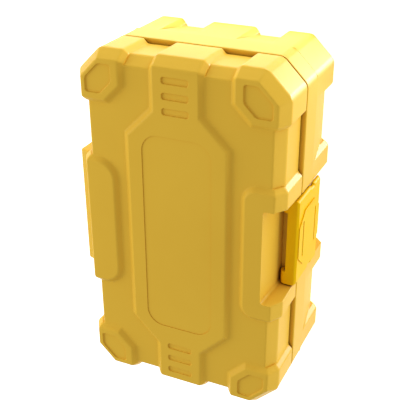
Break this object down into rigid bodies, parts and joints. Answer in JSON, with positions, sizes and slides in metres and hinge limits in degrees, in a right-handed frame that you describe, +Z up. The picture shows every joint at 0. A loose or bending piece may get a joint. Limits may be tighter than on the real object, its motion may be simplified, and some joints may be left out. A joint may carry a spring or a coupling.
{
  "type": "drill bit case",
  "caption": "Moulded hard case with bumpered corners, a hinged lid, a snap latch and tilting racks of twist drills.",
  "frame": {"origin": "middle of the underside, on the face the case lies on", "axes": "+X along the case's length, +Y towards the hinge, +Z up through the lid"},
  "size_m": [0.185, 0.1193, 0.0743],
  "materials": {
    "case_plastic": "fine moulded texture",
    "latch_plastic": "semi-gloss",
    "pin_steel": "bright",
    "rack_plastic": "fine moulded texture",
    "drill_steel": "ground"
  },
  "bodies": {
    "base": {"base_shell": "case_plastic", "rack_cradle": "rack_plastic", "hinge_pin": "pin_steel"},
    "lid": {"lid_shell": "case_plastic", "latch_pin": "pin_steel"},
    "latch": {"latch": "latch_plastic"},
    "rack_large": {"bit_rack_large": "rack_plastic", "drill_bit_10_5mm": "drill_steel", "drill_bit_11_0mm": "drill_steel", "drill_bit_11_5mm": "drill_steel", "drill_bit_12_0mm": "drill_steel", "drill_bit_12_5mm": "drill_steel", "drill_bit_13_0mm": "drill_steel"},
    "rack_medium": {"bit_rack_medium": "rack_plastic", "drill_bit_06_5mm": "drill_steel", "drill_bit_07_0mm": "drill_steel", "drill_bit_07_5mm": "drill_steel", "drill_bit_08_0mm": "drill_steel", "drill_bit_08_5mm": "drill_steel", "drill_bit_09_0mm": "drill_steel", "drill_bit_09_5mm": "drill_steel", "drill_bit_10_0mm": "drill_steel"},
    "rack_small": {"bit_rack_small": "rack_plastic", "drill_bit_01_0mm": "drill_steel", "drill_bit_01_5mm": "drill_steel", "drill_bit_02_0mm": "drill_steel", "drill_bit_02_5mm": "drill_steel", "drill_bit_03_0mm": "drill_steel", "drill_bit_03_5mm": "drill_steel", "drill_bit_04_0mm": "drill_steel", "drill_bit_04_5mm": "drill_steel", "drill_bit_05_0mm": "drill_steel", "drill_bit_05_5mm": "drill_steel", "drill_bit_06_0mm": "drill_steel"}
  },
  "joints": [
    {"name": "lid_hinge", "type": "hinge", "parent": "base", "child": "lid", "pos_m": [0, 0.0588, 0.0467], "axis": [-1, 0, 0], "range_deg": [0, 110]},
    {"name": "latch_pivot", "type": "hinge", "parent": "lid", "child": "latch", "pos_m": [0, -0.05, 0.05185], "axis": [-1, 0, 0], "range_deg": [0, 61]},
    {"name": "rack_large_tilt", "type": "hinge", "parent": "base", "child": "rack_large", "pos_m": [-0.0629, 0, 0.0145], "axis": [0, -1, 0], "range_deg": [0, 44.5]},
    {"name": "rack_medium_tilt", "type": "hinge", "parent": "base", "child": "rack_medium", "pos_m": [-0.0689, 0, 0.0295], "axis": [0, -1, 0], "range_deg": [0, 44.5]},
    {"name": "rack_small_tilt", "type": "hinge", "parent": "base", "child": "rack_small", "pos_m": [-0.0749, 0, 0.041], "axis": [0, -1, 0], "range_deg": [0, 44.5]}
  ],
  "couplings": [
    {"joint": "latch_pivot", "follows": "lid_hinge", "ratio": 0.55},
    {"joint": "rack_large_tilt", "follows": "lid_hinge", "ratio": 0.4},
    {"joint": "rack_medium_tilt", "follows": "lid_hinge", "ratio": 0.4},
    {"joint": "rack_small_tilt", "follows": "lid_hinge", "ratio": 0.4}
  ]
}
